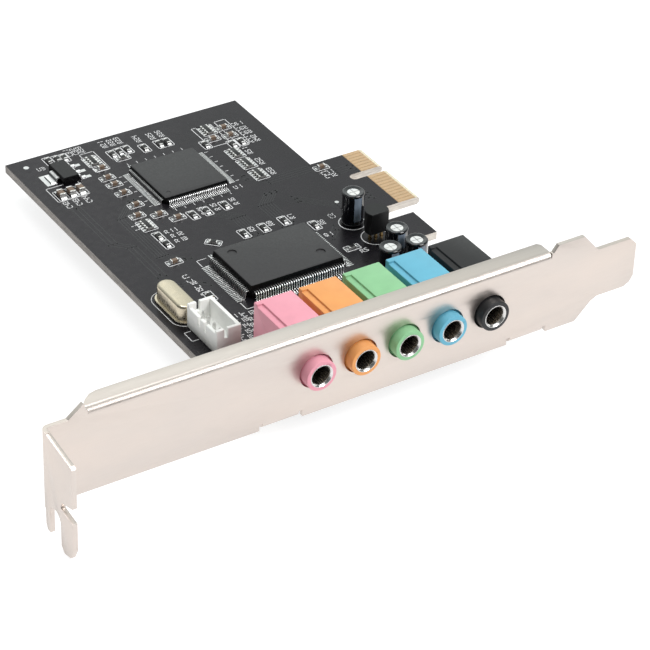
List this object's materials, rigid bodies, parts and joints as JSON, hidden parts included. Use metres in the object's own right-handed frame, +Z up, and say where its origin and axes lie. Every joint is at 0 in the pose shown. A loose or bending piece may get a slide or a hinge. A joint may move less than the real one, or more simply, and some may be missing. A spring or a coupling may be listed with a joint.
{
  "type": "sound card with a card edge and stacked audio jacks",
  "caption": "Computer sound card: populated dark circuit board with a keyed gold card edge, a folded metal bracket and a row of coloured audio jacks.",
  "frame": {"origin": "on the middle (green) jack's axis, level with the bracket's outer face", "axes": "+X along the bracket from its slotted tab to its tongue, +Y from the bracket into the card, +Z up off the component side"},
  "size_m": [0.12, 0.1048, 0.023],
  "materials": {
    "board_dark": "dark solder mask over fibreglass, satin",
    "gold": "gold plated, smooth",
    "nickel_sheet": "bright nickel on sheet steel",
    "jack_pink": "moulded pastel pink",
    "jack_orange": "moulded pastel orange",
    "jack_green": "moulded pastel green",
    "jack_blue": "moulded pastel blue",
    "jack_black": "moulded black",
    "tin": "tin plated",
    "chip_black": "moulded epoxy, matte",
    "crystal_metal": "pale nickel can",
    "header_white": "moulded nylon, off-white",
    "can_sleeve": "dark shrink sleeve",
    "leg_brass": "tinned brass legs",
    "resistor_dark": "dark glaze",
    "ceramic_tan": "fired ceramic, tan"
  },
  "bodies": {
    "root": {"audio_chip": "chip_black", "audio_chip_leads": "tin", "bracket": "nickel_sheet", "bridge_chip": "chip_black", "bridge_chip_leads": "tin", "capacitor_wires": "tin", "chip_capacitors": "ceramic_tan", "chip_resistors": "resistor_dark", "circuit_board": "board_dark", "crystal_base": "crystal_metal", "crystal_can": "crystal_metal", "crystal_wires": "tin", "filter_capacitors": "ceramic_tan", "gold_fingers": "gold", "header_housing": "header_white", "header_pins": "tin", "jack_housing_black": "jack_black", "jack_housing_blue": "jack_blue", "jack_housing_green": "jack_green", "jack_housing_orange": "jack_orange", "jack_housing_pink": "jack_pink", "jack_leaves": "tin", "jack_pins": "tin", "regulator_body": "chip_black", "regulator_leads": "tin", "resistor_arrays": "resistor_dark", "short_capacitors": "can_sleeve", "tall_capacitor": "can_sleeve", "transistor_body": "chip_black", "transistor_legs": "leg_brass"}
  },
  "joints": []
}
